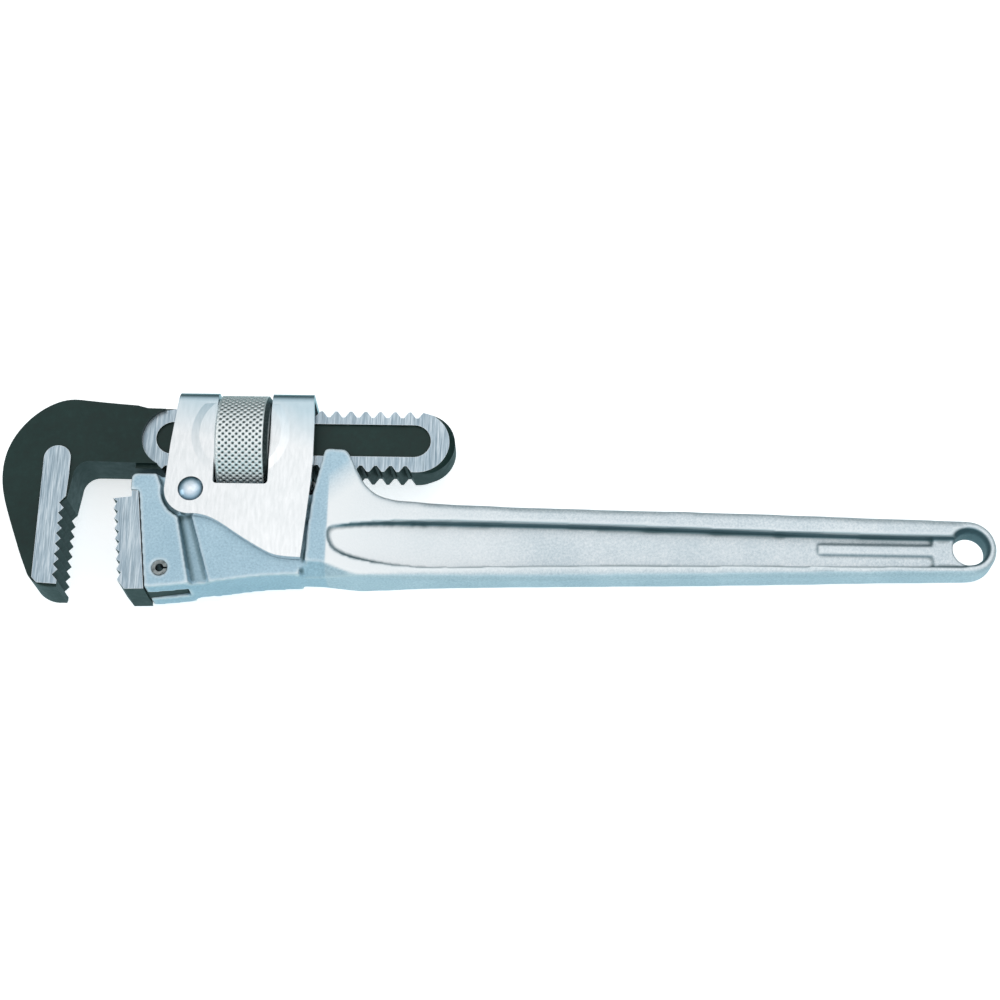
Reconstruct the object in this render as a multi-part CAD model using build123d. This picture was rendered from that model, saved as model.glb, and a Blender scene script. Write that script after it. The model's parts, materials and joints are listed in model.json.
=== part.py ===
"""Adjustable pipe wrench, lying on its side.

Frame: the origin is the centre of the hanging hole, half-way through the thickness.
+X runs along the wrench from the jaws towards the handle's end, +Y runs across it towards
the top of the adjusting nut, and +Z is the thickness direction. The wrench is the same on
both sides of Z = 0. All sizes are in millimetres.
"""
from build123d import *
import math
import os

# ---- driving dimensions -------------------------------------------------------------
# shank of the hook jaw and its rack
SHANK_Y = 33.3
SHANK_HALF_HEIGHT = 10.6
SHANK_HALF_THICK = 6.0
SHANK_END_X = -177.4
END_CHAMFER = (1.8, 1.7)
RACK_PITCH = 4.87
RACK_DEPTH = 2.1
RACK_PHASE_X = -192.1
RACK_CREST = 0.85
RACK_ROOT = 0.9
RACK_START_X = -260.5
THREAD_MEAN_R = 11.3
PANEL_X = (-265.4, -174.7)
PANEL_Y = (28.0, 39.3)
PANEL_DEPTH = 0.9
MILLED_X = -259.4
MILLED_R = 10.5

# hook jaw head
HOOK_HALF_THICK = 8.5
NECK_HALF_THICK = 7.8
STRIP_HALF_THICK = 9.3
NECK_BOTTOM_Y = 24.2
HOOK_TOOTH_X = -292.9
HOOK_TOOTH_DEPTH = 1.7
HOOK_TOOTH_TOP_Y = 9.1
TOOTH_PITCH = 3.51
TOOTH_COUNT = 8

# adjusting nut
NUT_X = (-244.6, -227.3)
NUT_R = 16.8
NUT_CHAMFER = 1.3
NUT_BORE_R = 10.9
NUT_ROOT_R = 12.55
NUT_RIDGE_TIP = 1.0
NUT_RIDGE_ROOT = 3.4

# frame, bent from sheet
FRAME_OUTER = 10.7
SHEET = 2.4
FRAME_INNER = FRAME_OUTER - SHEET
FRAME_TOP_Y = 49.0
BEND_R = 4.0
WINDOW_X = (-244.9, -227.0)
WINDOW_BOTTOM_Y = 16.2
BOSS_CENTRE = (-236.9, 33.8)
BOSS_R = 16.2
BOSS_TOP_R = 13.4
BOSS_RISE = 0.6

# rivet that the frame rocks on
RIVET = (-251.9, 14.2)
RIVET_R = 3.0
RIVET_HEAD_R = 4.15
RIVET_HEAD_H = 1.5
RUNNING_GAP = 0.05

# handle
HEAD_HALF_THICK = 9.6
FLANGE_HALF_THICK = 6.5
WEB_HALF_THICK = 2.5
POCKET_HALF_THICK = 8.0
GROOVE_HALF_THICK = 7.0
SADDLE_Y = 19.0
NUT_NOTCH_Y = 15.0
SPRING_SEAT_Y = 13.5
EAR_GAP_HALF = 6.3
POCKET_WALL_R = 9.8
BEVEL_TURN_X = -208.8
HOLE_R = 5.4
WELL_R = 6.9
PAD_HALF_THICK = 3.2
RIB_X = (-48.6, -11.4)
RIB_Y = (-2.4, 0.8)
RIB_HALF_THICK = 3.3

# heel jaw and its roll pin
HEEL_HALF_THICK = 9.3
HEEL_TONGUE_HALF = 3.35
HEEL_TOOTH_DEPTH = 1.4
TONGUE_SLOT_HALF = 3.45
TONGUE_SLOT_END_X = -251.5
ROLL_PIN = (-260.1, -12.6)
ROLL_PIN_R = 2.5
ROLL_PIN_BORE_R = 1.35
ROLL_PIN_SLIT = 0.6
ROLL_PIN_HALF_LENGTH = 9.4
FIT_GAP = 0.02

# springs under the shank
LEAF_THICK = 0.8
LEAF_HALF_WIDTH = 4.0
LEAF_RIVET_X = -201.5
LEAF_RIVET_R = 1.5
LEAF_RIVET_HEAD_R = 2.6
COIL_X = -216.4
COIL_MEAN_R = 3.3
COIL_WIRE_R = 0.45
COIL_PITCH = 1.4

TALL = 80.0


# ---- helpers ------------------------------------------------------------------------
def prism(points, half):
    """A straight-sided outline, extruded evenly on both sides of Z = 0."""
    return extrude(make_face(Polyline(*points, close=True)), amount=half, both=True)


def curved_prism(edges, half):
    """An outline made of joined edges, extruded evenly on both sides of Z = 0."""
    return extrude(make_face(edges), amount=half, both=True)


def slab(x, y, z):
    """A box from its low and high limits along each axis."""
    size = (x[1] - x[0], y[1] - y[0], z[1] - z[0])
    centre = ((x[0] + x[1]) / 2, (y[0] + y[1]) / 2, (z[0] + z[1]) / 2)
    return Pos(*centre) * Box(*size)


def across(x, y, radius, half):
    """A cylinder along Z, centred on Z = 0."""
    return Pos(x, y, 0) * Cylinder(radius, 2 * half)


def both_sides(solid):
    """A solid and its mirror image about Z = 0."""
    return solid + mirror(solid, about=Plane.XY)


def plan_prism(points):
    """A half-thickness curve (x, z), mirrored about Z = 0 and extruded along Y."""
    top = Spline(*[(x, 0, z) for x, z in points])
    low = Spline(*[(x, 0, -z) for x, z in points])
    first = Line((points[0][0], 0, points[0][1]), (points[0][0], 0, -points[0][1]))
    last = Line((points[-1][0], 0, points[-1][1]), (points[-1][0], 0, -points[-1][1]))
    face = make_face([top, low, first, last])
    return extrude(face, amount=TALL, both=True, dir=(0, 1, 0))


# ---- hook jaw -----------------------------------------------------------------------
def hook_outline():
    """Back, bottom, toothed face and throat of the hook jaw, as joined edges."""
    back = Spline(
        (-291.7, 45.8), (-301.9, 42.9), (-309.3, 36.2), (-313.9, 26.8),
        (-314.4, 17.5), (-311.2, 5.5), (-306.6, -6.5), (-303.0, -14.8),
        tangents=((-1, 0.05), (0.45, -1)),
    )
    toe = Spline((-303.0, -14.8), (-300.0, -18.0), (-295.6, -19.4), tangents=((0.45, -1), (1, -0.05)))
    face = [(-295.6, -19.4), (HOOK_TOOTH_X, -19.4)]
    for i in reversed(range(TOOTH_COUNT)):
        root_y = HOOK_TOOTH_TOP_Y - i * TOOTH_PITCH
        face.append((HOOK_TOOTH_X, root_y - TOOTH_PITCH / 2))
        face.append((HOOK_TOOTH_X - HOOK_TOOTH_DEPTH, root_y))
    face.append((-292.4, 10.9))
    face.append((-291.2, 18.8))
    throat = ThreePointArc((-291.2, 18.8), (-289.5, 22.7), (-285.7, NECK_BOTTOM_Y))
    neck = Polyline(
        (-285.7, NECK_BOTTOM_Y), (MILLED_X, NECK_BOTTOM_Y - 0.4), (MILLED_X, 43.2),
        (-268.5, 43.4), (-272.0, 44.3), (-291.7, 45.8),
    )
    return [back, toe, Polyline(*face), throat, neck]


def ground_strip():
    """The raised strip along the teeth, ground bright on both sides."""
    top = ThreePointArc((-301.1, 24.7), (-296.7, 29.1), (-292.3, 24.7))
    points = [(-292.3, 24.7), (-292.3, 19.0), (-292.6, 11.4)]
    for i in range(TOOTH_COUNT):
        root_y = HOOK_TOOTH_TOP_Y - i * TOOTH_PITCH
        points.append((HOOK_TOOTH_X - HOOK_TOOTH_DEPTH, root_y))
        points.append((HOOK_TOOTH_X, root_y - TOOTH_PITCH / 2))
    points.append((HOOK_TOOTH_X, -18.6))
    points.append((-299.4, -18.2))
    points.append((-301.1, -16.4))
    points.append((-301.1, 24.7))
    return curved_prism([top, Polyline(*points)], STRIP_HALF_THICK)


def rack_groove(x, side):
    """A groove of the rack on one edge of the shank, tilted to match the nut's thread."""
    tilt = side * RACK_PITCH / (2 * math.pi * THREAD_MEAN_R)
    crest_y = SHANK_Y + side * (SHANK_HALF_HEIGHT + 0.5)
    root_y = SHANK_Y + side * (SHANK_HALF_HEIGHT - RACK_DEPTH)
    flank = (RACK_PITCH - RACK_CREST - RACK_ROOT) / 2 * (RACK_DEPTH + 0.5) / RACK_DEPTH
    start = -2 * SHANK_HALF_THICK
    points = [
        (x - RACK_ROOT / 2 - flank, crest_y), (x - RACK_ROOT / 2, root_y),
        (x + RACK_ROOT / 2, root_y), (x + RACK_ROOT / 2 + flank, crest_y),
    ]
    face = make_face(Polyline(*[(px + tilt * start, py, start) for px, py in points], close=True))
    length = -2 * start * math.hypot(1, tilt)
    return extrude(face, amount=length, dir=Vector(tilt, 0, 1).normalized())


def end_profile(inset, z):
    """The shank's outline near its round end, drawn at one level and set back along X."""
    low, high = SHANK_Y - SHANK_HALF_HEIGHT, SHANK_Y + SHANK_HALF_HEIGHT
    start, centre = SHANK_END_X - 2 * SHANK_HALF_HEIGHT, SHANK_END_X - inset
    edges = [
        Line((start, low), (centre, low)),
        ThreePointArc((centre, low), (centre + SHANK_HALF_HEIGHT, SHANK_Y), (centre, high)),
        Polyline((centre, high), (start, high), (start, low)),
    ]
    return Plane.XY.offset(z) * make_face(edges)


def end_chamfer():
    """The cutter that slopes the round end's edge, widest at the tip, on the +Z side."""
    inset, depth = END_CHAMFER
    low = SHANK_HALF_THICK - depth
    kept = loft([end_profile(0, low), end_profile(2 * inset, low + 2 * depth)])
    around = slab((SHANK_END_X - 2 * inset, SHANK_END_X + 15), (SHANK_Y - 20, SHANK_Y + 20), (low, low + 2 * depth))
    return around - kept


def shank():
    """The flat bar with a rack along both edges and a panel sunk in each side."""
    low, high = SHANK_Y - SHANK_HALF_HEIGHT, SHANK_Y + SHANK_HALF_HEIGHT
    bar = slab((MILLED_X - 12.0, SHANK_END_X), (low, high), (-SHANK_HALF_THICK, SHANK_HALF_THICK))
    bar += across(SHANK_END_X, SHANK_Y, SHANK_HALF_HEIGHT, SHANK_HALF_THICK)
    for side in (1, -1):
        x = RACK_PHASE_X + RACK_PITCH / 2 if side > 0 else RACK_PHASE_X
        while x - RACK_PITCH > RACK_START_X:
            x -= RACK_PITCH
        while x < SHANK_END_X - 1.5:
            bar -= rack_groove(x, side)
            x += RACK_PITCH
    return bar - both_sides(end_chamfer())


def side_panel():
    """The sunk panel's cutter on the +Z side, with full-round ends."""
    radius = (PANEL_Y[1] - PANEL_Y[0]) / 2
    centre_y = (PANEL_Y[0] + PANEL_Y[1]) / 2
    depth = (SHANK_HALF_THICK - PANEL_DEPTH, SHANK_HALF_THICK + 5)
    cutter = slab((PANEL_X[0] + radius, PANEL_X[1] - radius), PANEL_Y, depth)
    for x in (PANEL_X[0] + radius, PANEL_X[1] - radius):
        cutter += Pos(x, centre_y, sum(depth) / 2) * Cylinder(radius, depth[1] - depth[0])
    return cutter


def hook_jaw():
    head = curved_prism(hook_outline(), 12.0)
    head &= plan_prism([
        (-320.0, 7.2), (-311.0, 8.1), (-301.0, HOOK_HALF_THICK), (-293.0, HOOK_HALF_THICK),
        (-284.0, 8.0), (-274.0, NECK_HALF_THICK), (-250.0, NECK_HALF_THICK),
    ])
    above = (SHANK_HALF_THICK, 20.0)
    milled = slab((MILLED_X, MILLED_X + 5), (0, 60), above)
    milled += Pos(MILLED_X, SHANK_Y, sum(above) / 2) * Cylinder(MILLED_R, above[1] - above[0])
    jaw = head - both_sides(milled) + ground_strip() + shank()
    return jaw - both_sides(side_panel())


# ---- adjusting nut ------------------------------------------------------------------
def thread_ridge():
    """One right-hand thread ridge inside the nut, along local Z, clipped to its width."""
    width = NUT_X[1] - NUT_X[0]
    turns = math.ceil(width / RACK_PITCH) + 2
    start = -turns * RACK_PITCH / 2
    sunk = 0.4
    slope = (NUT_RIDGE_ROOT - NUT_RIDGE_TIP) / (NUT_ROOT_R - NUT_BORE_R) / 2
    root_half = NUT_RIDGE_ROOT / 2 + sunk * slope
    profile = Plane.XZ * make_face(Polyline(
        (NUT_ROOT_R + sunk, start - root_half), (NUT_BORE_R, start - NUT_RIDGE_TIP / 2),
        (NUT_BORE_R, start + NUT_RIDGE_TIP / 2), (NUT_ROOT_R + sunk, start + root_half), close=True,
    ))
    path = Pos(0, 0, start) * Helix(RACK_PITCH, turns * RACK_PITCH, NUT_ROOT_R)
    ridge = sweep(profile, path=path, is_frenet=True)
    return Rot(0, 0, thread_angle(turns)) * ridge & Cylinder(NUT_R - 1, width)


def thread_angle(turns):
    """How far to turn the ridge so that it sits between the rack's teeth."""
    centre_x = sum(NUT_X) / 2
    return 360 * ((centre_x - RACK_PHASE_X) / RACK_PITCH - turns / 2 - 0.5)


def adjusting_nut():
    """A ring on the shank's axis, with a single right-hand thread for the rack."""
    width = NUT_X[1] - NUT_X[0]
    ring = Cylinder(NUT_R, width) - Cylinder(NUT_ROOT_R, width + 2)
    rims = ring.edges().filter_by(GeomType.CIRCLE).filter_by(lambda e: e.radius > NUT_R - 1)
    ring = chamfer(rims, NUT_CHAMFER) + thread_ridge()
    # local Z becomes X and local X becomes Y, so that angles run from +Y towards +Z
    place = Plane(origin=(sum(NUT_X) / 2, SHANK_Y, 0), x_dir=(0, 1, 0), z_dir=(1, 0, 0))
    return place * ring


# ---- frame --------------------------------------------------------------------------
def frame():
    """A channel of bent sheet: two side plates joined by two bridges over the shank."""
    lobe_r = 8.6
    left = Polyline((-257.6, FRAME_TOP_Y), (-259.6, 30.0), (RIVET[0] - lobe_r, RIVET[1]))
    lobe = RadiusArc((RIVET[0] - lobe_r, RIVET[1]), (RIVET[0] + 0.8, RIVET[1] - lobe_r + 0.04), -lobe_r)
    tail = Spline(
        (RIVET[0] + 0.8, RIVET[1] - lobe_r + 0.04), (-244.0, 4.0), (-235.8, -1.1), (-226.2, -6.8),
        (-214.9, -8.8), tangents=((1, 0), (1, -0.03)),
    )
    right = Polyline(
        (-214.9, -8.8), (-214.5, -4.2), (-213.0, 16.2), (-212.6, 24.7), (-212.8, 37.7),
        (-213.6, FRAME_TOP_Y), (-257.6, FRAME_TOP_Y),
    )
    plates = curved_prism([left, lobe, tail, right], TALL)
    length = (-270.0, -200.0)
    channel = slab(length, (-20, FRAME_TOP_Y), (-FRAME_OUTER, FRAME_OUTER))
    bends = channel.edges().filter_by(Axis.X).group_by(Axis.Y)[-1]
    channel = fillet(bends, BEND_R)
    hollow = slab(length, (-25, FRAME_TOP_Y - SHEET), (-FRAME_INNER, FRAME_INNER))
    bends = hollow.edges().filter_by(Axis.X).group_by(Axis.Y)[-1]
    hollow = fillet(bends, BEND_R - SHEET)
    body = plates & channel
    boss = Pos(*BOSS_CENTRE, FRAME_OUTER - 0.3) * Cone(
        BOSS_R + 1.2, BOSS_TOP_R, BOSS_RISE + 0.3, align=(Align.CENTER, Align.CENTER, Align.MIN))
    boss &= slab((-256, -214), (-20, FRAME_TOP_Y - BEND_R - 1), (0, 20))
    body += both_sides(boss)
    body -= hollow
    window = slab(WINDOW_X, (WINDOW_BOTTOM_Y, 60), (-20, 20))
    corners = window.edges().filter_by(Axis.Z).group_by(Axis.Y)[0]
    body -= fillet(corners, 1.2)
    body -= across(*RIVET, RIVET_R + RUNNING_GAP, 20)
    return body


def frame_rivet():
    """A solid rivet with a domed head on each side plate."""
    shaft = across(*RIVET, RIVET_R, FRAME_OUTER + 0.1)
    dome_r = (RIVET_HEAD_R ** 2 + RIVET_HEAD_H ** 2) / (2 * RIVET_HEAD_H)
    base = FRAME_OUTER + RUNNING_GAP
    dome = Pos(*RIVET, base + RIVET_HEAD_H - dome_r) * Sphere(dome_r)
    dome &= Pos(*RIVET, base) * Cylinder(
        RIVET_HEAD_R, 4, align=(Align.CENTER, Align.CENTER, Align.MIN))
    return shaft + both_sides(dome)


# ---- handle -------------------------------------------------------------------------
def handle_outline():
    """The handle's silhouette from the heel-jaw seat to the round end."""
    front = Polyline(
        (-264.5, -19.3), (-268.85, 13.85), (-271.6, 13.85), (-271.6, 18.8), (-270.6, 19.8),
        (-247.2, 19.8), (-247.2, SPRING_SEAT_Y), (-212.2, SPRING_SEAT_Y),
    )
    ear = [
        Line((-212.2, SPRING_SEAT_Y), (-209.4, 27.4)),
        ThreePointArc((-209.4, 27.4), (-208.7, 28.9), (-207.2, 29.4)),
        Line((-207.2, 29.4), (-203.6, 29.4)),
        ThreePointArc((-203.6, 29.4), (-202.1, 28.9), (-201.1, 27.8)),
        Line((-201.1, 27.8), (-197.7, 21.4)),
        Spline((-197.7, 21.4), (-194.7, 16.8), (-190.0, 13.8), (-183.0, 12.7), tangents=((0.47, -0.88), (1, -0.05))),
    ]
    top = Spline((-183.0, 12.7), (-95.0, 11.1), (-0.7, 9.27), tangents=((1, -0.03), (1, -0.02)))
    end = ThreePointArc((-0.7, 9.27), (8.6, 0.04), (-0.7, -9.19))
    bottom = Spline((-0.7, -9.19), (-90.0, -11.8), (-183.0, -14.0), tangents=((-1, -0.02), (-1, -0.02)))
    belly = Spline((-183.0, -14.0), (-205.0, -13.9), (-225.0, -14.2), (-249.2, -17.6), (-264.5, -19.3))
    return [front] + ear + [top, end, bottom, belly]


def handle_panel():
    """The sunk panels' cutter on both faces of the grip; their floors rise towards the head."""
    top = Spline((-206.0, 2.4), (-193.3, 4.4), (-172.0, 5.6), (-145.0, 5.7), (-87.0, 4.6), (-3.0, 3.4))
    hole_side = ThreePointArc((-3.0, 3.4), (2.2, -1.6), (-3.0, -6.6))
    low = Spline((-3.0, -6.6), (-87.0, -8.1), (-150.0, -9.2), (-188.0, -9.5), (-197.7, -8.0),
                 (-204.4, -5.3), (-206.8, -1.8))
    nose = Spline((-206.8, -1.8), (-206.9, 1.2), (-206.0, 2.4), tangents=((-0.1, 1), (1, 0.4)))
    web = plan_prism([
        (-230.0, 11.0), (-207.0, 8.9), (-197.0, 7.2), (-185.0, 4.8), (-170.0, 3.1), (-155.0, WEB_HALF_THICK),
        (-120.0, WEB_HALF_THICK), (-60.0, WEB_HALF_THICK), (30.0, WEB_HALF_THICK),
    ])
    pad = slab((-11.6, 10.0), (-20, 20), (-PAD_HALF_THICK, PAD_HALF_THICK))
    rib = slab(RIB_X, RIB_Y, (-RIB_HALF_THICK, RIB_HALF_THICK))
    return curved_prism([top, hole_side, low, nose], 20.0) - web - pad - rib


def hole_well():
    """The cutter of the flared well that leads into the hanging hole, on the +Z side."""
    depth = FLANGE_HALF_THICK - PAD_HALF_THICK
    flare = Cone(HOLE_R, WELL_R, depth, align=(Align.CENTER, Align.CENTER, Align.MIN))
    return Pos(0, 0, PAD_HALF_THICK) * flare


def frame_pocket():
    """The cutter that lets a side plate of the frame lie in the head, on the +Z side."""
    rx, ry = RIVET
    wall = [
        Line((-263.6, 26.0), (-263.6, 20.2)),
        Line((-263.6, 20.2), (rx - POCKET_WALL_R, ry + 1.2)),
        ThreePointArc(
            (rx - POCKET_WALL_R, ry + 1.2), (rx - 7.6, ry - 6.2), (rx - 3.7, ry - 9.1)),
    ]
    rest = Polyline(
        (rx - 3.7, ry - 9.1), (-248.6, -25.0), (-213.8, -25.0), (-213.4, 0.0), (-212.2, SPRING_SEAT_Y),
        (-212.2, 26.0), (-263.6, 26.0),
    )
    face = Plane.XY.offset(POCKET_HALF_THICK) * make_face(wall + [rest])
    return extrude(face, amount=10.0)


def slanted_groove():
    """The shallow groove between the heel-jaw block and the pocket, on the +Z side."""
    points = [(-255.6, 5.8), (-251.7, 6.6), (-243.7, -18.5), (-248.9, -20.5)]
    face = Plane.XY.offset(GROOVE_HALF_THICK) * make_face(Polyline(*points, close=True))
    return extrude(face, amount=10.0)


def belly_bevel():
    """The wide bevel under the head's end, on the +Z side; it runs out along the grip."""
    down = Vector(0, -4.8, -5.2)
    flat_part = (Vector(-215.2, -9.3, HEAD_HALF_THICK), Vector(6.4, -0.3, 0), (-215.2, BEVEL_TURN_X))
    runout = (Vector(BEVEL_TURN_X, -9.6, HEAD_HALF_THICK), Vector(12.8, -4.4, -0.8), (BEVEL_TURN_X, -150.0))
    cutter = None
    for corner, along, span in (flat_part, runout):
        plane = Plane(origin=corner, z_dir=down.cross(along))
        below = plane * Box(150.0, 150.0, 20.0, align=(Align.CENTER, Align.CENTER, Align.MIN))
        piece = below & slab(span, (-40, 10), (0, 30))
        cutter = piece if cutter is None else cutter + piece
    return cutter


def handle():
    body = curved_prism(handle_outline(), 12.0)
    body &= plan_prism([
        (-207.0, HEAD_HALF_THICK), (-190.0, 8.3), (-170.0, 7.1), (-150.0, FLANGE_HALF_THICK),
        (-100.0, FLANGE_HALF_THICK), (-50.0, FLANGE_HALF_THICK), (30.0, FLANGE_HALF_THICK),
    ]) + slab((-290.0, -207.0), (-40, 60), (-HEAD_HALF_THICK, HEAD_HALF_THICK))
    body -= handle_panel()
    body -= both_sides(hole_well())
    body -= both_sides(frame_pocket())
    body -= both_sides(slanted_groove())
    body -= both_sides(belly_bevel())
    body -= slab((-262.5, -247.2), (SADDLE_Y, 30), (-20, 20))
    body -= slab((-247.3, -225.0), (NUT_NOTCH_Y, 30), (-20, 20))
    body -= slab((-225.1, -185.0), (SPRING_SEAT_Y, 40), (-EAR_GAP_HALF, EAR_GAP_HALF))
    body -= slab((-275.0, TONGUE_SLOT_END_X), (-30, 7.6), (-TONGUE_SLOT_HALF, TONGUE_SLOT_HALF))
    body -= across(0, 0, HOLE_R, 20)
    body -= across(*RIVET, RIVET_R + FIT_GAP, 20)
    body -= across(*ROLL_PIN, ROLL_PIN_R + FIT_GAP, 20)
    body -= Pos(LEAF_RIVET_X, SPRING_SEAT_Y, 0) * Rot(90, 0, 0) * Cylinder(LEAF_RIVET_R + FIT_GAP, 12.0)
    return body


# ---- heel jaw and roll pin ----------------------------------------------------------
def heel_jaw():
    top, bottom = (-277.1, 10.9), (-273.5, -16.8)
    points = [top]
    for i in range(TOOTH_COUNT):
        for share, depth in ((0.35, HEEL_TOOTH_DEPTH), (1.0, 0.0)):
            t = (i + share) / TOOTH_COUNT
            points.append((
                top[0] + (bottom[0] - top[0]) * t + depth,
                top[1] + (bottom[1] - top[1]) * t + 0.13 * depth,
            ))
    points += [(-270.9, -19.9), (-264.75, -19.7), (-269.1, 13.75), (-271.3, 13.7), (-271.2, 11.7)]
    jaw = prism(points, HEEL_HALF_THICK)
    tongue = [(-268.6, 6.9), (-252.2, 6.9), (-252.2, -16.9), (-265.0, -18.9)]
    jaw += prism(tongue, HEEL_TONGUE_HALF)
    return jaw - across(*ROLL_PIN, ROLL_PIN_R + FIT_GAP, 20)


def heel_jaw_pin():
    """A slit spring pin through the head and the heel jaw's tongue."""
    tube = across(*ROLL_PIN, ROLL_PIN_R, ROLL_PIN_HALF_LENGTH)
    tube -= across(*ROLL_PIN, ROLL_PIN_BORE_R, 20)
    slit = slab((ROLL_PIN[0], ROLL_PIN[0] + 4), (-ROLL_PIN_SLIT / 2, ROLL_PIN_SLIT / 2), (-20, 20))
    return tube - Pos(0, ROLL_PIN[1], 0) * slit


# ---- springs ------------------------------------------------------------------------
def leaf_spring():
    """A strip riveted between the ears that lifts the shank."""
    seat_y = SPRING_SEAT_Y + 0.02
    under = [
        Line((-198.0, seat_y), (-205.0, seat_y)),
        Spline((-205.0, seat_y), (-212.5, 18.4), (-221.5, 21.3), tangents=((-1, 0), (-1, 0.2))),
    ]
    over = [
        Spline((-221.3, 21.3 + LEAF_THICK), (-212.2, 18.4 + LEAF_THICK), (-204.8, seat_y + LEAF_THICK),
               tangents=((1, -0.2), (1, 0))),
        Line((-204.8, seat_y + LEAF_THICK), (-198.0, seat_y + LEAF_THICK)),
    ]
    ends = [
        Line((-198.0, seat_y + LEAF_THICK), (-198.0, seat_y)),
        Line((-221.5, 21.3), (-221.3, 21.3 + LEAF_THICK)),
    ]
    strip = curved_prism(under + over + ends, LEAF_HALF_WIDTH)
    hole = Pos(LEAF_RIVET_X, SPRING_SEAT_Y, 0) * Rot(90, 0, 0) * Cylinder(LEAF_RIVET_R + FIT_GAP, 12.0)
    return strip - hole


def leaf_spring_rivet():
    base_y = SPRING_SEAT_Y + LEAF_THICK + 0.04
    upright = Pos(LEAF_RIVET_X, base_y, 0) * Rot(-90, 0, 0)
    head_h = 1.2
    dome_r = (LEAF_RIVET_HEAD_R ** 2 + head_h ** 2) / (2 * head_h)
    dome = Pos(0, 0, head_h - dome_r) * Sphere(dome_r)
    dome &= Cylinder(LEAF_RIVET_HEAD_R, 3, align=(Align.CENTER, Align.CENTER, Align.MIN))
    shaft = Pos(0, 0, -6) * Cylinder(LEAF_RIVET_R, 6.1, align=(Align.CENTER, Align.CENTER, Align.MIN))
    return upright * (dome + shaft)


def coil_spring():
    """A short compression spring standing on the seat under the leaf."""
    turns = 2.5
    base_y = SPRING_SEAT_Y + COIL_WIRE_R + 0.02
    path = Helix(COIL_PITCH, turns * COIL_PITCH, COIL_MEAN_R)
    wire = sweep(Plane(path @ 0, z_dir=path % 0) * Circle(COIL_WIRE_R), path=path, is_frenet=True)
    return Pos(COIL_X, base_y, 0) * Rot(-90, 0, 0) * wire


# ---- write the nodes ----------------------------------------------------------------
NODES = {
    "handle": handle,
    "heel_jaw": heel_jaw,
    "heel_jaw_pin": heel_jaw_pin,
    "frame_rivet": frame_rivet,
    "leaf_spring": leaf_spring,
    "leaf_spring_rivet": leaf_spring_rivet,
    "coil_spring": coil_spring,
    "frame": frame,
    "hook_jaw": hook_jaw,
    "adjusting_nut": adjusting_nut,
}

os.makedirs("parts", exist_ok=True)
for node, make in NODES.items():
    export_step(make(), os.path.join("parts", node + ".step"))
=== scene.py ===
"""Looks of the adjustable pipe wrench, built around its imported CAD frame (metres)."""
import json
import math

import bmesh
import bpy
import numpy as np
from mathutils import Matrix, Vector


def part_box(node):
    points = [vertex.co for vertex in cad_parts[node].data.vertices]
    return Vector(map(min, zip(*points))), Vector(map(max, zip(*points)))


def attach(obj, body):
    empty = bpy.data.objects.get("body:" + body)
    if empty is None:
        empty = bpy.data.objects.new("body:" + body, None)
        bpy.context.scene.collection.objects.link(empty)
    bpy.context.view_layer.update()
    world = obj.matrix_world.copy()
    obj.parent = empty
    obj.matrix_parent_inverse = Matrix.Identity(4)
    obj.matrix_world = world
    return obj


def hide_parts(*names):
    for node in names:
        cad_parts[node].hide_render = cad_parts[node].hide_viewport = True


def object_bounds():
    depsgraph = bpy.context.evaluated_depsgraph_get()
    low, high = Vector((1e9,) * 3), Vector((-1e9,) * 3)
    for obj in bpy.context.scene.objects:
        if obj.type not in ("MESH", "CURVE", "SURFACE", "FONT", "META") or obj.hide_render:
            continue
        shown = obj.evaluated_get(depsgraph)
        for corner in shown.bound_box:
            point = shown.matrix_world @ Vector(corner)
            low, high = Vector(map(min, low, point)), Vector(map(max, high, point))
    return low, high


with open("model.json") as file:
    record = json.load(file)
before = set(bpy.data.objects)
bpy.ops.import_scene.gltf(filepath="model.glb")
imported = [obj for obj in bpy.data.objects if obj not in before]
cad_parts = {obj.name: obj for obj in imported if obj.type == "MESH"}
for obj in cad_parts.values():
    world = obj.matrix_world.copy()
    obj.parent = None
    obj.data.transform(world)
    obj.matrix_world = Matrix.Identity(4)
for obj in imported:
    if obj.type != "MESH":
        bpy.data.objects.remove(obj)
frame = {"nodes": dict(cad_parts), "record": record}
cad_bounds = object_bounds()

MM = 0.001
NODES = frame["nodes"]


# ---- places read from the frame -----------------------------------------------------
def centre_of(node):
    low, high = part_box(node)
    return (Vector(low) + Vector(high)) / 2


NUT_LOW, NUT_HIGH = (Vector(corner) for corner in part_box("adjusting_nut"))
NUT_CENTRE = centre_of("adjusting_nut")
NUT_R = (NUT_HIGH.y - NUT_LOW.y) / 2
RIVET_AXIS = centre_of("frame_rivet")
RIVET_HEAD_R = (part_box("frame_rivet")[1][0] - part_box("frame_rivet")[0][0]) / 2
FRAME_TOP_Y = Vector(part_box("frame")[1]).y
HOOK_FACE_Z = Vector(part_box("hook_jaw")[1]).z
HANDLE_FRONT_X = Vector(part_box("handle")[0]).x
FLOOR_Z = cad_bounds[0][2]
MIDDLE = (Vector(cad_bounds[0]) + Vector(cad_bounds[1])) / 2


# ---- node helpers -------------------------------------------------------------------
def fill_ramp(node, stops):
    """Sets a colour ramp's stops, each a (position, colour)."""
    elements = node.color_ramp.elements
    while len(elements) < len(stops):
        elements.new(0.5)
    for element, (position, colour) in zip(elements, stops):
        element.position = position
        element.color = (*colour, 1.0)


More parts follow.
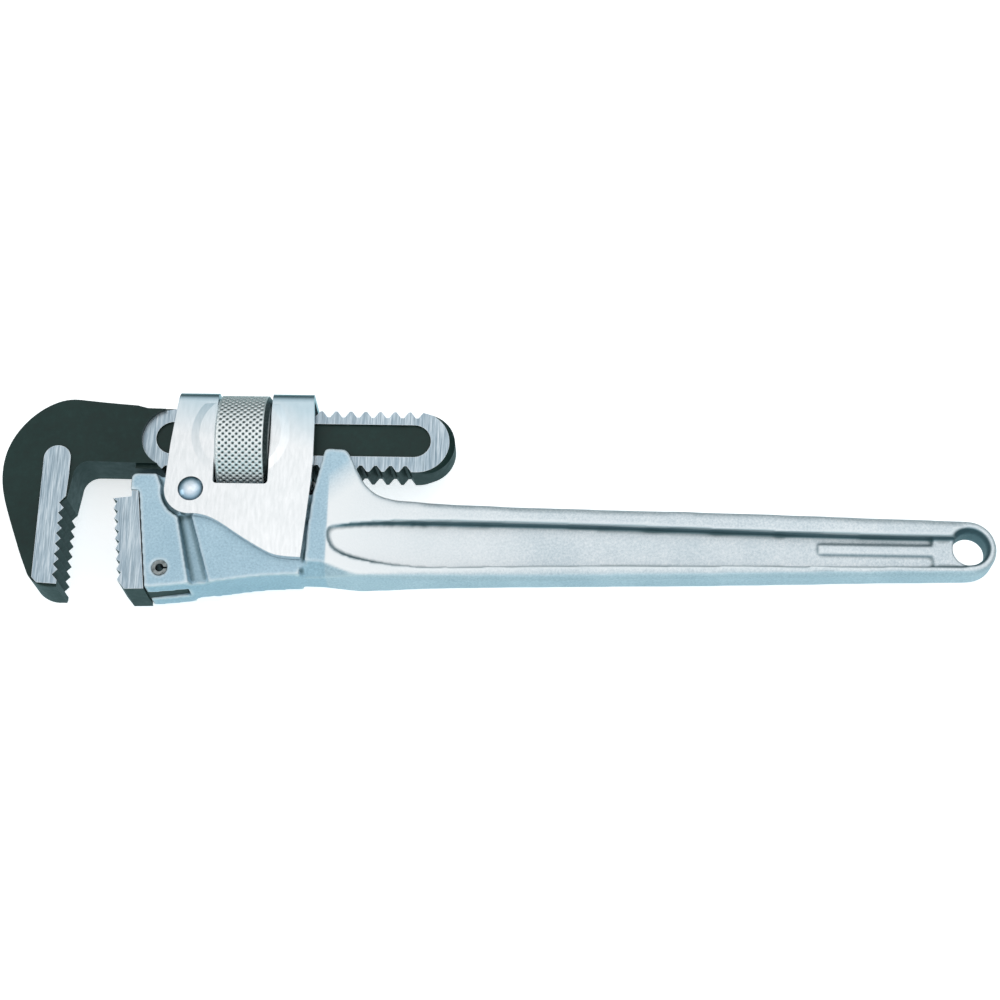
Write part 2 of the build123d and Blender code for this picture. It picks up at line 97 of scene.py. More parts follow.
class Look:
    """A material under construction: a Principled shader and the nodes that feed it."""

    def __init__(self, name, colour, metallic, roughness):
        self.material = bpy.data.materials.new(name)
        self.material.use_nodes = True
        self.tree = self.material.node_tree
        self.shader = self.tree.nodes["Principled BSDF"]
        self.shader.inputs["Base Color"].default_value = (*colour, 1.0)
        self.shader.inputs["Metallic"].default_value = metallic
        self.shader.inputs["Roughness"].default_value = roughness
        self.place = self.node("ShaderNodeTexCoord").outputs["Object"]

    def node(self, kind, **settings):
        made = self.tree.nodes.new(kind)
        for key, value in settings.items():
            setattr(made, key, value)
        return made

    def link(self, source, target):
        self.tree.links.new(source, target)

    def noise(self, scale, stretch=(1, 1, 1), detail=3.0, rough=0.5):
        """Noise over the object's own coordinates; scale is in features per metre."""
        mapping = self.node("ShaderNodeMapping")
        mapping.inputs["Scale"].default_value = stretch
        self.link(self.place, mapping.inputs["Vector"])
        texture = self.node("ShaderNodeTexNoise")
        texture.inputs["Scale"].default_value = scale
        texture.inputs["Detail"].default_value = detail
        texture.inputs["Roughness"].default_value = rough
        self.link(mapping.outputs["Vector"], texture.inputs["Vector"])
        return texture.outputs["Fac"]

    def attribute(self, name):
        """A number stored on the mesh's points by the code below."""
        return self.node("ShaderNodeAttribute", attribute_name=name).outputs["Fac"]

    def edges(self, radius):
        """1 on sharp edges and 0 on flats, from how far a rounded normal turns."""
        bevel = self.node("ShaderNodeBevel", samples=4)
        bevel.inputs["Radius"].default_value = radius
        turned = self.node("ShaderNodeVectorMath", operation="DOT_PRODUCT")
        self.link(bevel.outputs["Normal"], turned.inputs[0])
        self.link(self.node("ShaderNodeNewGeometry").outputs["Normal"], turned.inputs[1])
        return self.spread(turned.outputs["Value"], 1.0, 0.0, 0.8, 0.985)

    def ramp(self, source, stops):
        """source turned into a colour; stops are (position, colour)."""
        ramp = self.node("ShaderNodeValToRGB")
        fill_ramp(ramp, stops)
        self.link(source, ramp.inputs["Fac"])
        return ramp.outputs["Color"]

    def spread(self, source, low, high, start=0.3, end=0.7):
        """source between start and end, mapped onto low..high."""
        span = self.node("ShaderNodeMapRange")
        span.inputs["From Min"].default_value = start
        span.inputs["From Max"].default_value = end
        span.inputs["To Min"].default_value = low
        span.inputs["To Max"].default_value = high
        self.link(source, span.inputs["Value"])
        return span.outputs["Result"]

    def maths(self, operation, a, b):
        """A sum or product; each side is a number or a socket."""
        made = self.node("ShaderNodeMath", operation=operation)
        for socket, value in zip(made.inputs, (a, b)):
            if isinstance(value, (int, float)):
                socket.default_value = value
            else:
                self.link(value, socket)
        return made.outputs["Value"]

    def mix(self, factor, a, b, blend="MIX"):
        """A blend of two colours; each value is a number, a colour or a socket."""
        made = self.node("ShaderNodeMix", data_type="RGBA", blend_type=blend)
        for name, value in (("Factor", factor), ("A", a), ("B", b)):
            socket = next(s for s in made.inputs if s.name == name and s.enabled)
            if isinstance(value, (int, float)):
                socket.default_value = value
            elif isinstance(value, tuple):
                socket.default_value = (*value, 1.0)
            else:
                self.link(value, socket)
        return next(s for s in made.outputs if s.enabled)

    def colour(self, source):
        self.link(source, self.shader.inputs["Base Color"])

    def roughness(self, source):
        self.link(source, self.shader.inputs["Roughness"])

    def bump(self, source, depth, strength=1.0):
        """depth is the height of the relief in millimetres."""
        made = self.node("ShaderNodeBump")
        made.inputs["Distance"].default_value = depth * MM
        made.inputs["Strength"].default_value = strength
        self.link(source, made.inputs["Height"])
        before = self.shader.inputs["Normal"]
        if before.links:
            self.link(before.links[0].from_socket, made.inputs["Normal"])
        self.link(made.outputs["Normal"], before)


# ---- materials ----------------------------------------------------------------------
def cast_aluminium():
    """Blasted casting: speckled grain, bluer head, painted teal shade on down-facing faces, a painted
    highlight on the pale facet, painted shade on the walls of its recesses and in its hollow edges,
    painted highlights on its proud edges.
    """
    look = Look("cast_aluminium", (0.60, 0.70, 0.75), 0.6, 0.42)
    grain = look.noise(1350, detail=4.0, rough=0.7)
    clouds = look.noise(60, detail=3.0)
    tone = look.ramp(grain, [
        (0.3, (0.40, 0.48, 0.53)), (0.5, (0.68, 0.75, 0.79)), (0.68, (0.98, 0.99, 1.0)),
    ])
    pale = look.ramp(clouds, [(0.35, (0.64, 0.71, 0.75)), (0.65, (0.84, 0.87, 0.89))])
    skin = look.mix(0.45, tone, pale)
    shaded = look.mix(1.0, skin, (0.62, 0.79, 0.88), blend="MULTIPLY")
    # bluer head and ear; the down-facing faces get painted teal shade
    skin = look.mix(look.attribute("cool_tint_and_underside_shade"), skin, shaded)
    # painted highlight: flats facing along Z near the head are lightened to near-white
    skin = look.mix(look.attribute("pale"), skin, (0.96, 0.96, 0.96))
    # painted shade: the recess walls and the groove floor are darkened to a dark teal
    skin = look.mix(look.attribute("recess_shade"), skin, (0.085, 0.165, 0.19))
    edge = look.attribute("edge")
    # painted shade: hollow edges are darkened
    skin = look.mix(look.spread(edge, 0.9, 0.0, -0.8, -0.15), skin, (0.05, 0.10, 0.11))
    # painted highlight: proud, rounded edges are lightened towards near-white
    edge_wear_and_highlight = look.spread(edge, 0.0, 0.6, 0.1, 0.8)
    look.colour(look.mix(edge_wear_and_highlight, skin, (0.93, 0.96, 0.97)))
    look.roughness(look.spread(grain, 0.36, 0.52))
    look.bump(grain, 0.07, 0.8)
    look.bump(look.noise(300, detail=3.0), 0.06, 0.5)
    return look.material


def ground_steel():
    """Surface-ground steel with its grain across the wrench and bright edges."""
    look = Look("ground_steel", (0.45, 0.54, 0.60), 0.85, 0.36)
    streaks = look.noise(2600, stretch=(1.0, 0.04, 1.0), detail=4.0, rough=0.65)
    broad = look.noise(800, stretch=(1.0, 0.08, 1.0), detail=2.0)
    fine = look.ramp(streaks, [
        (0.32, (0.13, 0.19, 0.24)), (0.5, (0.42, 0.52, 0.59)), (0.66, (0.84, 0.89, 0.93)),
    ])
    slow = look.ramp(broad, [(0.35, (0.30, 0.39, 0.46)), (0.65, (0.58, 0.66, 0.71))])
    brushed = look.mix(0.35, fine, slow)
    look.colour(look.mix(look.edges(0.3 * MM), brushed, (0.92, 0.95, 0.97)))
    look.roughness(look.spread(streaks, 0.28, 0.46))
    look.bump(streaks, 0.03, 0.7)
    return look.material


def black_forging():
    """Oil-blackened forging, dark green-black and semi-matt."""
    look = Look("black_forging", (0.008, 0.03, 0.025), 0.0, 0.45)
    look.shader.inputs["Specular IOR Level"].default_value = 0.3
    scale = look.noise(420, detail=5.0, rough=0.6)
    clouds = look.noise(35, detail=3.0)
    tone = look.ramp(scale, [
        (0.3, (0.004, 0.016, 0.013)), (0.55, (0.008, 0.03, 0.025)), (0.8, (0.022, 0.052, 0.046)),
    ])
    slow = look.ramp(clouds, [(0.35, (0.005, 0.02, 0.017)), (0.65, (0.012, 0.038, 0.033))])
    edge_wear_and_highlight = look.maths("MULTIPLY", look.edges(0.35 * MM), look.spread(scale, 0.0, 0.5))
    look.colour(look.mix(edge_wear_and_highlight, look.mix(0.5, tone, slow), (0.10, 0.14, 0.13)))
    look.roughness(look.spread(scale, 0.36, 0.52))
    look.bump(scale, 0.08, 0.6)
    look.bump(look.noise(90, detail=2.0), 0.15, 0.4)
    return look.material


def plated_sheet():
    """Bright plated sheet: faint polishing lines, gentle waves, a painted blue reflection near its
    top and painted shade on its edges.
    """
    look = Look("plated_sheet", (0.86, 0.88, 0.90), 0.95, 0.2)
    lines = look.noise(1600, stretch=(0.6, 0.15, 0.6), detail=3.0)
    waves = look.noise(34, detail=1.0)
    tone = look.ramp(lines, [(0.3, (0.79, 0.81, 0.82)), (0.7, (0.89, 0.90, 0.91))])
    split = look.node("ShaderNodeSeparateXYZ")
    look.link(look.place, split.inputs["Vector"])
    wander = look.maths("ADD", split.outputs["Y"], look.spread(waves, -5 * MM, 5 * MM))
    # painted reflection: the sheet is tinted blue towards its top bend
    top_reflection = look.spread(wander, 0.0, 0.75, FRAME_TOP_Y - 20 * MM, FRAME_TOP_Y - 4 * MM)
    with_top_reflection = look.mix(top_reflection, tone, (0.44, 0.60, 0.68))
    # painted shade: the sheet's edges and creases are darkened
    edge_shade = look.maths("MULTIPLY", look.edges(0.3 * MM), 0.7)
    look.colour(look.mix(edge_shade, with_top_reflection, (0.25, 0.33, 0.36)))
    look.roughness(look.spread(waves, 0.15, 0.27))
    look.bump(lines, 0.006, 0.5)
    look.bump(waves, 0.25, 0.5)
    return look.material


def knurled_steel():
    """Plated knurl: a painted highlight on the crests, painted shade in the pits of the outer face
    and on the nut's right end face.
    """
    look = Look("knurled_steel", (0.80, 0.82, 0.80), 0.75, 0.34)
    pit = look.attribute("pit")
    # painted highlight on the crests and painted shade in the pits, from the stored pit depth
    tone = look.ramp(pit, [
        (0.0, (0.99, 1.0, 0.99)), (0.3, (0.86, 0.89, 0.88)), (0.7, (0.04, 0.06, 0.06)),
    ])
    grain = look.noise(1300, detail=3.0)
    look.colour(look.mix(look.spread(grain, 0.0, 0.2), tone, (0.42, 0.46, 0.45)))
    look.roughness(look.spread(grain, 0.25, 0.42))
    look.bump(grain, 0.02, 0.5)
    return look.material


def plated_rivet():
    """Polished rivet heads with painted light: a painted highlight in the middle, a painted blue
    reflection towards the rim and painted shade where they meet the sheet.
    """
    look = Look("plated_rivet", (0.70, 0.78, 0.85), 0.95, 0.16)
    dents = look.noise(330, detail=2.0)
    off_axis = look.node("ShaderNodeVectorMath", operation="DISTANCE")
    flat = look.node("ShaderNodeVectorMath", operation="MULTIPLY")
    look.link(look.place, flat.inputs[0])
    flat.inputs[1].default_value = (1.0, 1.0, 0.0)
    look.link(flat.outputs["Vector"], off_axis.inputs[0])
    off_axis.inputs[1].default_value = (RIVET_AXIS.x, RIVET_AXIS.y, 0.0)
    rim = look.spread(off_axis.outputs["Value"], 0.0, 1.0, 0.0, RIVET_HEAD_R)
    # painted highlight in the middle, painted blue reflection towards the rim, painted shade at the
    # edge
    ring = look.ramp(rim, [
        (0.0, (0.93, 0.95, 0.97)), (0.45, (0.80, 0.87, 0.93)), (0.76, (0.42, 0.56, 0.66)),
        (0.97, (0.03, 0.05, 0.06)),
    ])
    look.colour(look.mix(look.spread(dents, 0.0, 0.35), ring, (0.30, 0.46, 0.62)))
    look.roughness(look.spread(dents, 0.12, 0.24))
    look.bump(dents, 0.12, 0.5)
    return look.material


def spring_steel():
    """Drawn spring wire and strip."""
    look = Look("spring_steel", (0.42, 0.43, 0.42), 0.9, 0.3)
    scratches = look.noise(800, stretch=(1.0, 1.0, 0.15), detail=3.0)
    look.colour(look.ramp(scratches, [(0.3, (0.11, 0.13, 0.13)), (0.7, (0.36, 0.39, 0.39))]))
    look.roughness(look.spread(scratches, 0.24, 0.4))
    look.bump(scratches, 0.02, 0.5)
    return look.material


# ---- adjusting nut ------------------------------------------------------------------
KNURL_DEPTH = 0.55 * MM
KNURL_AXIAL = 2.2 * MM
KNURL_AROUND = 50
KNURL_FADE = 0.5 * MM
PIT_SHARPNESS = 2.6
KNURL_SINK = 0.05 * MM
NUT_STEPS = 500
THREAD_ROWS = 60
KNURL_ROWS = 78
NUT_BORE_R = 10.9 * MM
NUT_ROOT_R = 12.55 * MM
NUT_FACE_INNER_R = NUT_ROOT_R + 0.5 * MM
RIDGE_HALF_TIP = 0.5 * MM
RIDGE_FLANK = 1.2 * MM
THREAD_PHASE_X = -192.1 * MM


def thread_radius(angle, x):
    """The nut's bore where it is threaded; the same right-hand thread as the CAD nut's."""
    pitch = 2 * math.pi / abs(frame["record"]["behaviour"]["couplings"][0]["ratio"])
    turn = ((x - THREAD_PHASE_X) / pitch - angle / (2 * math.pi)) % 1.0
    off_ridge = abs(turn - 0.5) * pitch
    share = (off_ridge - RIDGE_HALF_TIP) / RIDGE_FLANK
    return NUT_BORE_R + (NUT_ROOT_R - NUT_BORE_R) * min(1.0, max(0.0, share))


def knurl_radius(angle, x, start, end):
    """Crossed knurl between start and end, fading out at both edges."""
    fade = min(1.0, max(0.0, min(x - start, end - x) / KNURL_FADE))
    wave = math.cos(2 * math.pi * (x - start) / KNURL_AXIAL) * math.cos(KNURL_AROUND * angle)
    pit = (0.5 - 0.5 * wave) ** PIT_SHARPNESS
    return NUT_R - KNURL_SINK - KNURL_DEPTH * pit * fade


def make_nut():
    """The knurled ring as one closed surface: thread, end faces, chamfers and knurl."""
    left, right = NUT_LOW.x, NUT_HIGH.x
    knurl_left, knurl_right = left + 0.7 * MM, right - 1.5 * MM
    angles = [2 * math.pi * i / NUT_STEPS for i in range(NUT_STEPS)]
    rings = []
    for x in np.linspace(left, right, THREAD_ROWS):
        rings.append([(x, thread_radius(a, x)) for a in angles])
    right_face = [
        (right, NUT_FACE_INNER_R), (right, NUT_R - 1.9 * MM), (right - 0.15 * MM, NUT_R - 1.6 * MM),
        (knurl_right + 0.25 * MM, NUT_R - 0.55 * MM),
    ]
    rings += [[(x, r)] * NUT_STEPS for x, r in right_face]
    first_knurled = len(rings)
    for x in np.linspace(knurl_right, knurl_left, KNURL_ROWS):
        rings.append([(x, knurl_radius(a, x, knurl_left, knurl_right)) for a in angles])
    after_knurl = len(rings)
    left_face = [
        (knurl_left - 0.2 * MM, NUT_R - 0.5 * MM), (left + 0.1 * MM, NUT_R - 1.1 * MM),
        (left, NUT_R - 1.4 * MM), (left, NUT_FACE_INNER_R),
    ]
    rings += [[(x, r)] * NUT_STEPS for x, r in left_face]
    verts = []
    for ring in rings:
        for angle, (x, r) in zip(angles, ring):
            verts.append((x, NUT_CENTRE.y + r * math.cos(angle), r * math.sin(angle)))
    faces = []
    for i in range(len(rings)):
        here, ahead = i * NUT_STEPS, (i + 1) % len(rings) * NUT_STEPS
        for j in range(NUT_STEPS):
            k = (j + 1) % NUT_STEPS
            faces.append((here + j, here + k, ahead + k, ahead + j))
    piece = new_piece("knurled_nut", verts, faces, smooth=True)
    radii = np.array([[r for _, r in ring] for ring in rings])
    pit_shade = np.zeros(radii.shape)
    pit_shade[first_knurled:after_knurl] = (NUT_R - radii[first_knurled:after_knurl]) / KNURL_DEPTH
    # painted shade: the right end face and its chamfer get the full pit darkness
    pit_shade[first_knurled - len(right_face):first_knurled] = 1.0
    store(piece, "pit", pit_shade.ravel())
    return piece


# ---- mesh helpers -------------------------------------------------------------------
WELD_DISTANCE = 0.002 * MM
SMOOTHING_PULL = 0.5
FLAT_ANGLE = math.radians(0.6)
ROUND_ANGLE = math.radians(32.0)
ROUND_SEGMENTS = 2


def store(piece, name, values):
    """Keeps one number per mesh point for a material to read."""
    layer = piece.data.attributes.new(name, "FLOAT", "POINT")
    layer.data.foreach_set("value", np.asarray(values, dtype=np.float32))


def new_piece(name, verts, faces, smooth=False):
    """An object from points and faces, with its normals outwards."""
    mesh = bpy.data.meshes.new(name)
    mesh.from_pydata(verts, [], faces)
    mesh.validate()
    bm = bmesh.new()
    bm.from_mesh(mesh)
    bmesh.ops.recalc_face_normals(bm, faces=bm.faces)
    bm.to_mesh(mesh)
    bm.free()
    mesh.polygons.foreach_set("use_smooth", [smooth] * len(mesh.polygons))
    piece = bpy.data.objects.new(name, mesh)
    bpy.context.scene.collection.objects.link(piece)
    return piece


def applied(piece):
    """The piece, with its modifiers applied to its mesh."""
    bpy.context.view_layer.update()
    evaluated = piece.evaluated_get(bpy.context.evaluated_depsgraph_get())
    mesh = bpy.data.meshes.new_from_object(evaluated)
    piece.modifiers.clear()
    old = piece.data
    piece.data = mesh
    bpy.data.meshes.remove(old)
    return piece


def remeshed_copy(node, name, voxel):
    """A copy of a CAD node's surface, remeshed evenly so that its edges can be rounded."""
    source = NODES[node]
    mesh = source.data.copy()
    mesh.transform(source.matrix_world)
    mesh.materials.clear()
    piece = bpy.data.objects.new(name, mesh)
    bpy.context.scene.collection.objects.link(piece)
    weld = piece.modifiers.new("weld", "WELD")
    weld.merge_threshold = WELD_DISTANCE
    remesh = piece.modifiers.new("remesh", "REMESH")
    remesh.mode = "VOXEL"
    remesh.voxel_size = voxel
    remesh.adaptivity = 0.0
    return applied(piece)


def point_array(source, key):
    """One vector for each mesh point, as the rows of an array."""
    values = np.empty(len(source) * 3)
    source.foreach_get(key, values)
    return values.reshape(-1, 3)


def neighbours(mesh):
    """Edge list and vertex degree of a mesh, for smoothing."""
    edges = np.empty(len(mesh.edges) * 2, dtype=np.int64)
    mesh.edges.foreach_get("vertices", edges)
    edges = edges.reshape(-1, 2)
    degree = np.bincount(edges.ravel(), minlength=len(mesh.vertices)).astype(float)
    return edges, degree


def mean_of_neighbours(values, edges, degree):
    """For each mesh point, the mean of the values at the points it is joined to."""
    total = np.stack([
        np.bincount(edges[:, 0], column[edges[:, 1]], len(column))
        + np.bincount(edges[:, 1], column[edges[:, 0]], len(column))
        for column in values.T
    ], axis=1)
    return total / degree[:, None]


def shade_smooth(piece):
    piece.data.polygons.foreach_set("use_smooth", [True] * len(piece.data.polygons))


def soften(piece, passes, weight=None):
    """Rounds edges by moving each vertex towards its neighbours; weight masks it."""
    mesh = piece.data
    points = point_array(mesh.vertices, "co")
    edges, degree = neighbours(mesh)
    share = SMOOTHING_PULL if weight is None else SMOOTHING_PULL * weight(points)[:, None]
    for _ in range(passes):
        points = points + share * (mean_of_neighbours(points, edges, degree) - points)
    mesh.vertices.foreach_set("co", points.ravel())
    shade_smooth(piece)
    mesh.update()


def paint(piece, materials, choose=None):
    """The first material, or for each face the one whose index choose(centre, normal) gives."""
    piece.data.materials.clear()
    for material in materials:
        piece.data.materials.append(material)
    for face in piece.data.polygons:
        face.material_index = choose(face.center, face.normal) if choose else 0


def edge_round(piece, width):
    """Small rounded edges on a CAD node, by modifiers alone."""
    flat = piece.modifiers.new("join_flats", "DECIMATE")
    flat.decimate_type = "DISSOLVE"
    flat.angle_limit = FLAT_ANGLE
    flat.delimit = {"MATERIAL"}
    bevel = piece.modifiers.new("edge_round", "BEVEL")
    bevel.width = width
    bevel.segments = ROUND_SEGMENTS
    bevel.limit_method = "ANGLE"
    bevel.angle_limit = ROUND_ANGLE
    bevel.use_clamp_overlap = True
    bevel.harden_normals = True
    shade_smooth(piece)


# ---- dress the pieces ---------------------------------------------------------------
ALUMINIUM = cast_aluminium()
GROUND = ground_steel()
BLACK = black_forging()
PLATED = plated_sheet()
KNURLED = knurled_steel()
RIVET = plated_rivet()
SPRING = spring_steel()

# shape of the CAD handle that the masks below follow
HEAD_CREASE_X = -207 * MM
GRIP_START_X = -200 * MM
GRIP_EDGE_Z = 3.2 * MM
PANEL_LOW_Y = -9 * MM
PANEL_HIGH_Y = 5.2 * MM
PALE_END_X = -135 * MM
GROOVE_Z = 7.3 * MM
BLOCK_HALF_Y = 12.5 * MM
HANDLE_END_R = 9.25 * MM
END_CENTRE_X = -0.7 * MM
TAPER_START_X = -5.0 * MM
TOP_EDGE = (9.35 * MM, 0.0193)
LOW_EDGE = (9.3 * MM, 0.0264)

HANDLE_VOXEL = 0.5 * MM
SOFT_EVERYWHERE = 3
SOFT_GRIP_EDGE = 80
RIM_WIDTH = 3.0 * MM
EDGE_BULGE = 0.1


def grip_depth(points):
    """How far inside the grip's tapered outline a point is, seen along Z."""
    x, y = points[:, 0], points[:, 1]
    upper = TOP_EDGE[0] + (TAPER_START_X - x) * TOP_EDGE[1]
    lower = -LOW_EDGE[0] - (TAPER_START_X - x) * LOW_EDGE[1]
    reach = np.hypot(x - END_CENTRE_X, y)
    return np.where(x > END_CENTRE_X, HANDLE_END_R - reach, np.minimum(upper - y, y - lower))


def grip_edge_weight(points):
    """1 near the outer long edges of the grip and its round end, 0 elsewhere."""
    along = np.clip((points[:, 0] - GRIP_START_X) / (30 * MM), 0, 1)
    near = np.clip((RIM_WIDTH - grip_depth(points)) / (1.2 * MM), 0, 1)
    outer = np.clip((np.abs(points[:, 2]) - GRIP_EDGE_Z) / (1.0 * MM), 0, 1)
    return along * near * outer


def mark_handle(piece):
    """Stores masks for the casting's painted light: painted shade on recess walls, proud and hollow
    edges for painted highlight and painted shade, the bluer head with painted shade on down-facing
    faces, and the painted highlight on the pale facet.
    """
    mesh = piece.data
    points = point_array(mesh.vertices, "co")
    normals = point_array(mesh.vertex_normals, "vector")
    edges, degree = neighbours(mesh)
    x, y = points[:, 0], points[:, 1]
    facing, upward = np.abs(normals[:, 2]), normals[:, 1]
    steep = np.clip((0.96 - facing) / 0.3, 0, 1)
    outward = ((y < PANEL_LOW_Y) & (upward < 0)) | ((y > PANEL_HIGH_Y) & (upward > 0))
    in_grip = (x > HEAD_CREASE_X - 1 * MM) & (grip_depth(points) > 1.4 * MM) & ~outward
    along_head = (x > HANDLE_FRONT_X + 10 * MM) & (x < HEAD_CREASE_X - 7 * MM)
    in_head = along_head & (np.abs(y) < BLOCK_HALF_Y)
    groove_floor = along_head & (np.abs(points[:, 2]) < GROOVE_Z) & (facing > 0.9)
    # painted shade in the recesses: steep walls inside the grip panel and the head, and the groove
    # floor
    store(piece, "recess_shade", 0.95 * steep * in_grip + 0.5 * steep * in_head + 0.28 * groove_floor)
    drift = mean_of_neighbours(points, edges, degree) - points
    bulge = -(drift * normals).sum(axis=1) / HANDLE_VOXEL
    for _ in range(2):
        bulge = mean_of_neighbours(bulge[:, None], edges, degree)[:, 0]
    store(piece, "edge", np.clip(bulge / EDGE_BULGE, -1, 1))
    head = np.clip((HEAD_CREASE_X - x) / (0.6 * MM) + 0.5, 0, 1)
    ear = np.clip((y - 9 * MM - 0.9 * (x - HEAD_CREASE_X)) / (12 * MM), 0, 1)
    # painted shade: faces turned downwards are tinted teal
    underside_shade = 0.6 * np.clip((-upward - 0.3) / 0.4, 0, 1)
    cool_tint_and_underside_shade = np.maximum(np.maximum(head, ear), underside_shade)
    store(piece, "cool_tint_and_underside_shade", cool_tint_and_underside_shade)
    # painted highlight on the flats facing along Z, fading out from the head towards the grip
    fade = np.clip((PALE_END_X - x) / (PALE_END_X - HEAD_CREASE_X), 0, 1)
    level = np.clip((facing - 0.9) / 0.08, 0, 1)
    store(piece, "pale", 0.95 * fade * (1 - cool_tint_and_underside_shade) * level)


def make_handle():
    """The casting: even mesh, all edges eased, the grip's outer edges well rounded."""
    piece = remeshed_copy("handle", "handle_casting", HANDLE_VOXEL)
    soften(piece, SOFT_EVERYWHERE)
    soften(piece, SOFT_GRIP_EDGE, grip_edge_weight)
    mark_handle(piece)
    piece.data.materials.clear()
    piece.data.materials.append(ALUMINIUM)
    return piece


# the milled arc on the hook jaw's neck, and the level of each ground face
ARC_CENTRE = Vector((-259.4, 33.4)) * MM
ARC_R = 10.7 * MM
SHANK_FACE_Z = (5.7 * MM, 6.1 * MM)
HEEL_FACE_Z = 9.0 * MM


def hook_material(centre, normal):
    """Ground on the toothed strip and the shank's flats, black elsewhere."""
    level = abs(centre.z)
    on_flat = abs(normal.z) > 0.95
    strip = level > HOOK_FACE_Z - 0.1 * MM
    past_arc = centre.x > ARC_CENTRE.x or (centre.xy - ARC_CENTRE).length < ARC_R
    shank = SHANK_FACE_Z[0] < level < SHANK_FACE_Z[1] and past_arc
    return 1 if on_flat and (strip or shank) else 0


def heel_material(centre, normal):
    """Ground on both sides, black elsewhere."""
    return 1 if abs(normal.z) > 0.95 and abs(centre.z) > HEEL_FACE_Z else 0


handle = make_handle()
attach(handle, "handle")
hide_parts("handle")

nut = make_nut()
nut.data.materials.append(KNURLED)
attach(nut, "nut")
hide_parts("adjusting_nut")

paint(NODES["hook_jaw"], [BLACK, GROUND], hook_material)
edge_round(NODES["hook_jaw"], 0.25 * MM)
paint(NODES["heel_jaw"], [BLACK, GROUND], heel_material)
edge_round(NODES["heel_jaw"], 0.2 * MM)
for node, material, width in (
    ("frame", PLATED, 0.35 * MM), ("heel_jaw_pin", SPRING, 0.15 * MM),
    ("leaf_spring", SPRING, 0.1 * MM),
):
    paint(NODES[node], [material])
    edge_round(NODES[node], width)
for node, material in (("frame_rivet", RIVET), ("leaf_spring_rivet", RIVET), ("coil_spring", SPRING)):
    paint(NODES[node], [material])
    shade_smooth(NODES[node])


# ---- floor, light and camera --------------------------------------------------------
FLOOR_HALF = 1.6
FLOOR_GLOW = 0.6
CAMERA_AZIMUTH = math.radians(5.0)
CAMERA_ELEVATION = math.radians(69.5)
CAMERA_ROLL = math.radians(1.5)
CAMERA_DISTANCE = 0.7
CAMERA_LENS = 76.86
AIM_OFFSET = Vector((1.3, 0.6)) * MM


def make_floor():
    """A wide white floor; it lights the wrench, but the metal reflects the studio instead."""
    half = FLOOR_HALF
    corners = [(-half, -half), (half, -half), (half, half), (-half, half)]
    floor = new_piece("floor", [(x, y, FLOOR_Z) for x, y in corners], [(0, 1, 2, 3)])
    look = Look("pale_floor", (0.93, 0.94, 0.945), 0.0, 0.7)
    look.colour(look.ramp(look.noise(6), [(0.3, (0.94, 0.945, 0.95)), (0.7, (0.95, 0.955, 0.96))]))
    look.shader.inputs["Emission Color"].default_value = (1.0, 1.0, 1.0, 1.0)
    look.shader.inputs["Emission Strength"].default_value = FLOOR_GLOW
    floor.data.materials.append(look.material)
    floor.visible_glossy = False


def softbox(name, direction, distance, size, power, colour):
    """An area light that looks at the wrench's middle from a direction."""
    light = bpy.data.lights.new(name, "AREA")
    light.shape = "RECTANGLE"
    light.size, light.size_y = size
    light.energy = power
    light.color = colour
    lamp = bpy.data.objects.new(name, light)
    bpy.context.scene.collection.objects.link(lamp)
    place = MIDDLE + Vector(direction).normalized() * distance
    lamp.location = place
    lamp.rotation_euler = (MIDDLE - place).to_track_quat("-Z", "Y").to_euler()


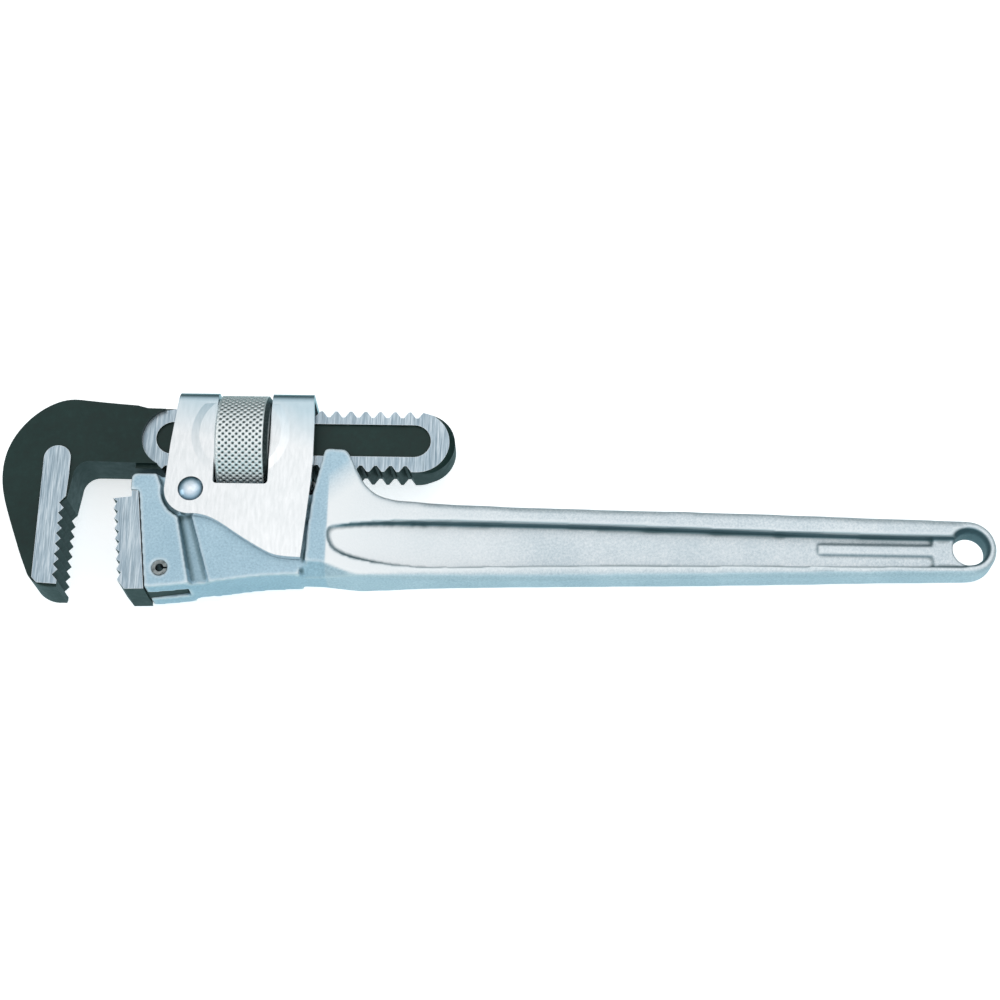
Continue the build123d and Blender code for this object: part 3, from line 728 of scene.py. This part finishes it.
def make_world():
    """A bright ceiling, a dark horizon, and a teal glow from below and from the front."""
    world = bpy.data.worlds.new("studio")
    world.use_nodes = True
    tree = world.node_tree
    direction = tree.nodes.new("ShaderNodeTexCoord").outputs["Generated"]
    split = tree.nodes.new("ShaderNodeSeparateXYZ")
    tree.links.new(direction, split.inputs["Vector"])
    height = tree.nodes.new("ShaderNodeMapRange")
    height.inputs["From Min"].default_value = -1.0
    tree.links.new(split.outputs["Z"], height.inputs["Value"])
    ramp = tree.nodes.new("ShaderNodeValToRGB")
    fill_ramp(ramp, [
        (0.0, (0.50, 0.74, 0.80)), (0.25, (0.26, 0.40, 0.42)), (0.42, (0.05, 0.09, 0.09)),
        (0.6, (0.10, 0.16, 0.17)), (0.82, (0.66, 0.74, 0.78)), (0.95, (0.98, 1.0, 1.01)),
        (1.0, (1.06, 1.06, 1.06)),
    ])
    tree.links.new(height.outputs["Result"], ramp.inputs["Fac"])
    front = tree.nodes.new("ShaderNodeMapRange")
    front.inputs["From Min"].default_value = -0.3
    front.inputs["From Max"].default_value = -1.0
    tree.links.new(split.outputs["Y"], front.inputs["Value"])
    glow = tree.nodes.new("ShaderNodeMix")
    glow.data_type = "RGBA"
    glow.blend_type = "LIGHTEN"
    colours = [socket for socket in glow.inputs if socket.type == "RGBA"]
    tree.links.new(front.outputs["Result"], glow.inputs["Factor"])
    tree.links.new(ramp.outputs["Color"], colours[0])
    colours[1].default_value = (0.42, 0.62, 0.66, 1.0)
    tree.links.new(next(socket for socket in glow.outputs if socket.type == "RGBA"),
                   tree.nodes["Background"].inputs["Color"])
    tree.nodes["Background"].inputs["Strength"].default_value = 1.0
    bpy.context.scene.world = world


def make_camera():
    """From well above the front; the nut side is up in the picture, but for a slight roll."""
    azimuth, elevation, roll = CAMERA_AZIMUTH, CAMERA_ELEVATION, CAMERA_ROLL
    level = Vector((math.sin(azimuth), -math.cos(azimuth), 0))
    away = level * math.cos(elevation) + Vector((0, 0, math.sin(elevation)))
    right = Vector((0, 1, 0)).cross(away).normalized()
    up = away.cross(right)
    right, up = (
        right * math.cos(roll) + up * math.sin(roll), up * math.cos(roll) - right * math.sin(roll))
    turn = Matrix((right, up, away)).transposed().to_4x4()
    camera = bpy.data.cameras.new("camera")
    camera.sensor_width = 36.0
    camera.lens = CAMERA_LENS
    camera.clip_start = 0.01
    camera.clip_end = 20.0
    holder = bpy.data.objects.new("camera", camera)
    bpy.context.scene.collection.objects.link(holder)
    aim = Vector((MIDDLE.x + AIM_OFFSET.x, MIDDLE.y + AIM_OFFSET.y, 0.0))
    holder.matrix_world = Matrix.Translation(aim + away * CAMERA_DISTANCE) @ turn
    bpy.context.scene.camera = holder


make_floor()
make_world()
softbox("overhead", (0.25, 0.30, 0.9), 1.0, (0.8, 0.9), 0.45, (1.0, 1.0, 1.0))
softbox("left_fill", (-0.9, -0.1, 0.55), 1.2, (0.5, 0.5), 0.8, (0.9, 0.97, 1.0))
softbox("front_fill", (0.15, -0.9, 0.45), 1.3, (1.0, 0.4), 0.8, (0.8, 0.95, 1.0))
make_camera()
bpy.context.scene.view_settings.view_transform = "Standard"
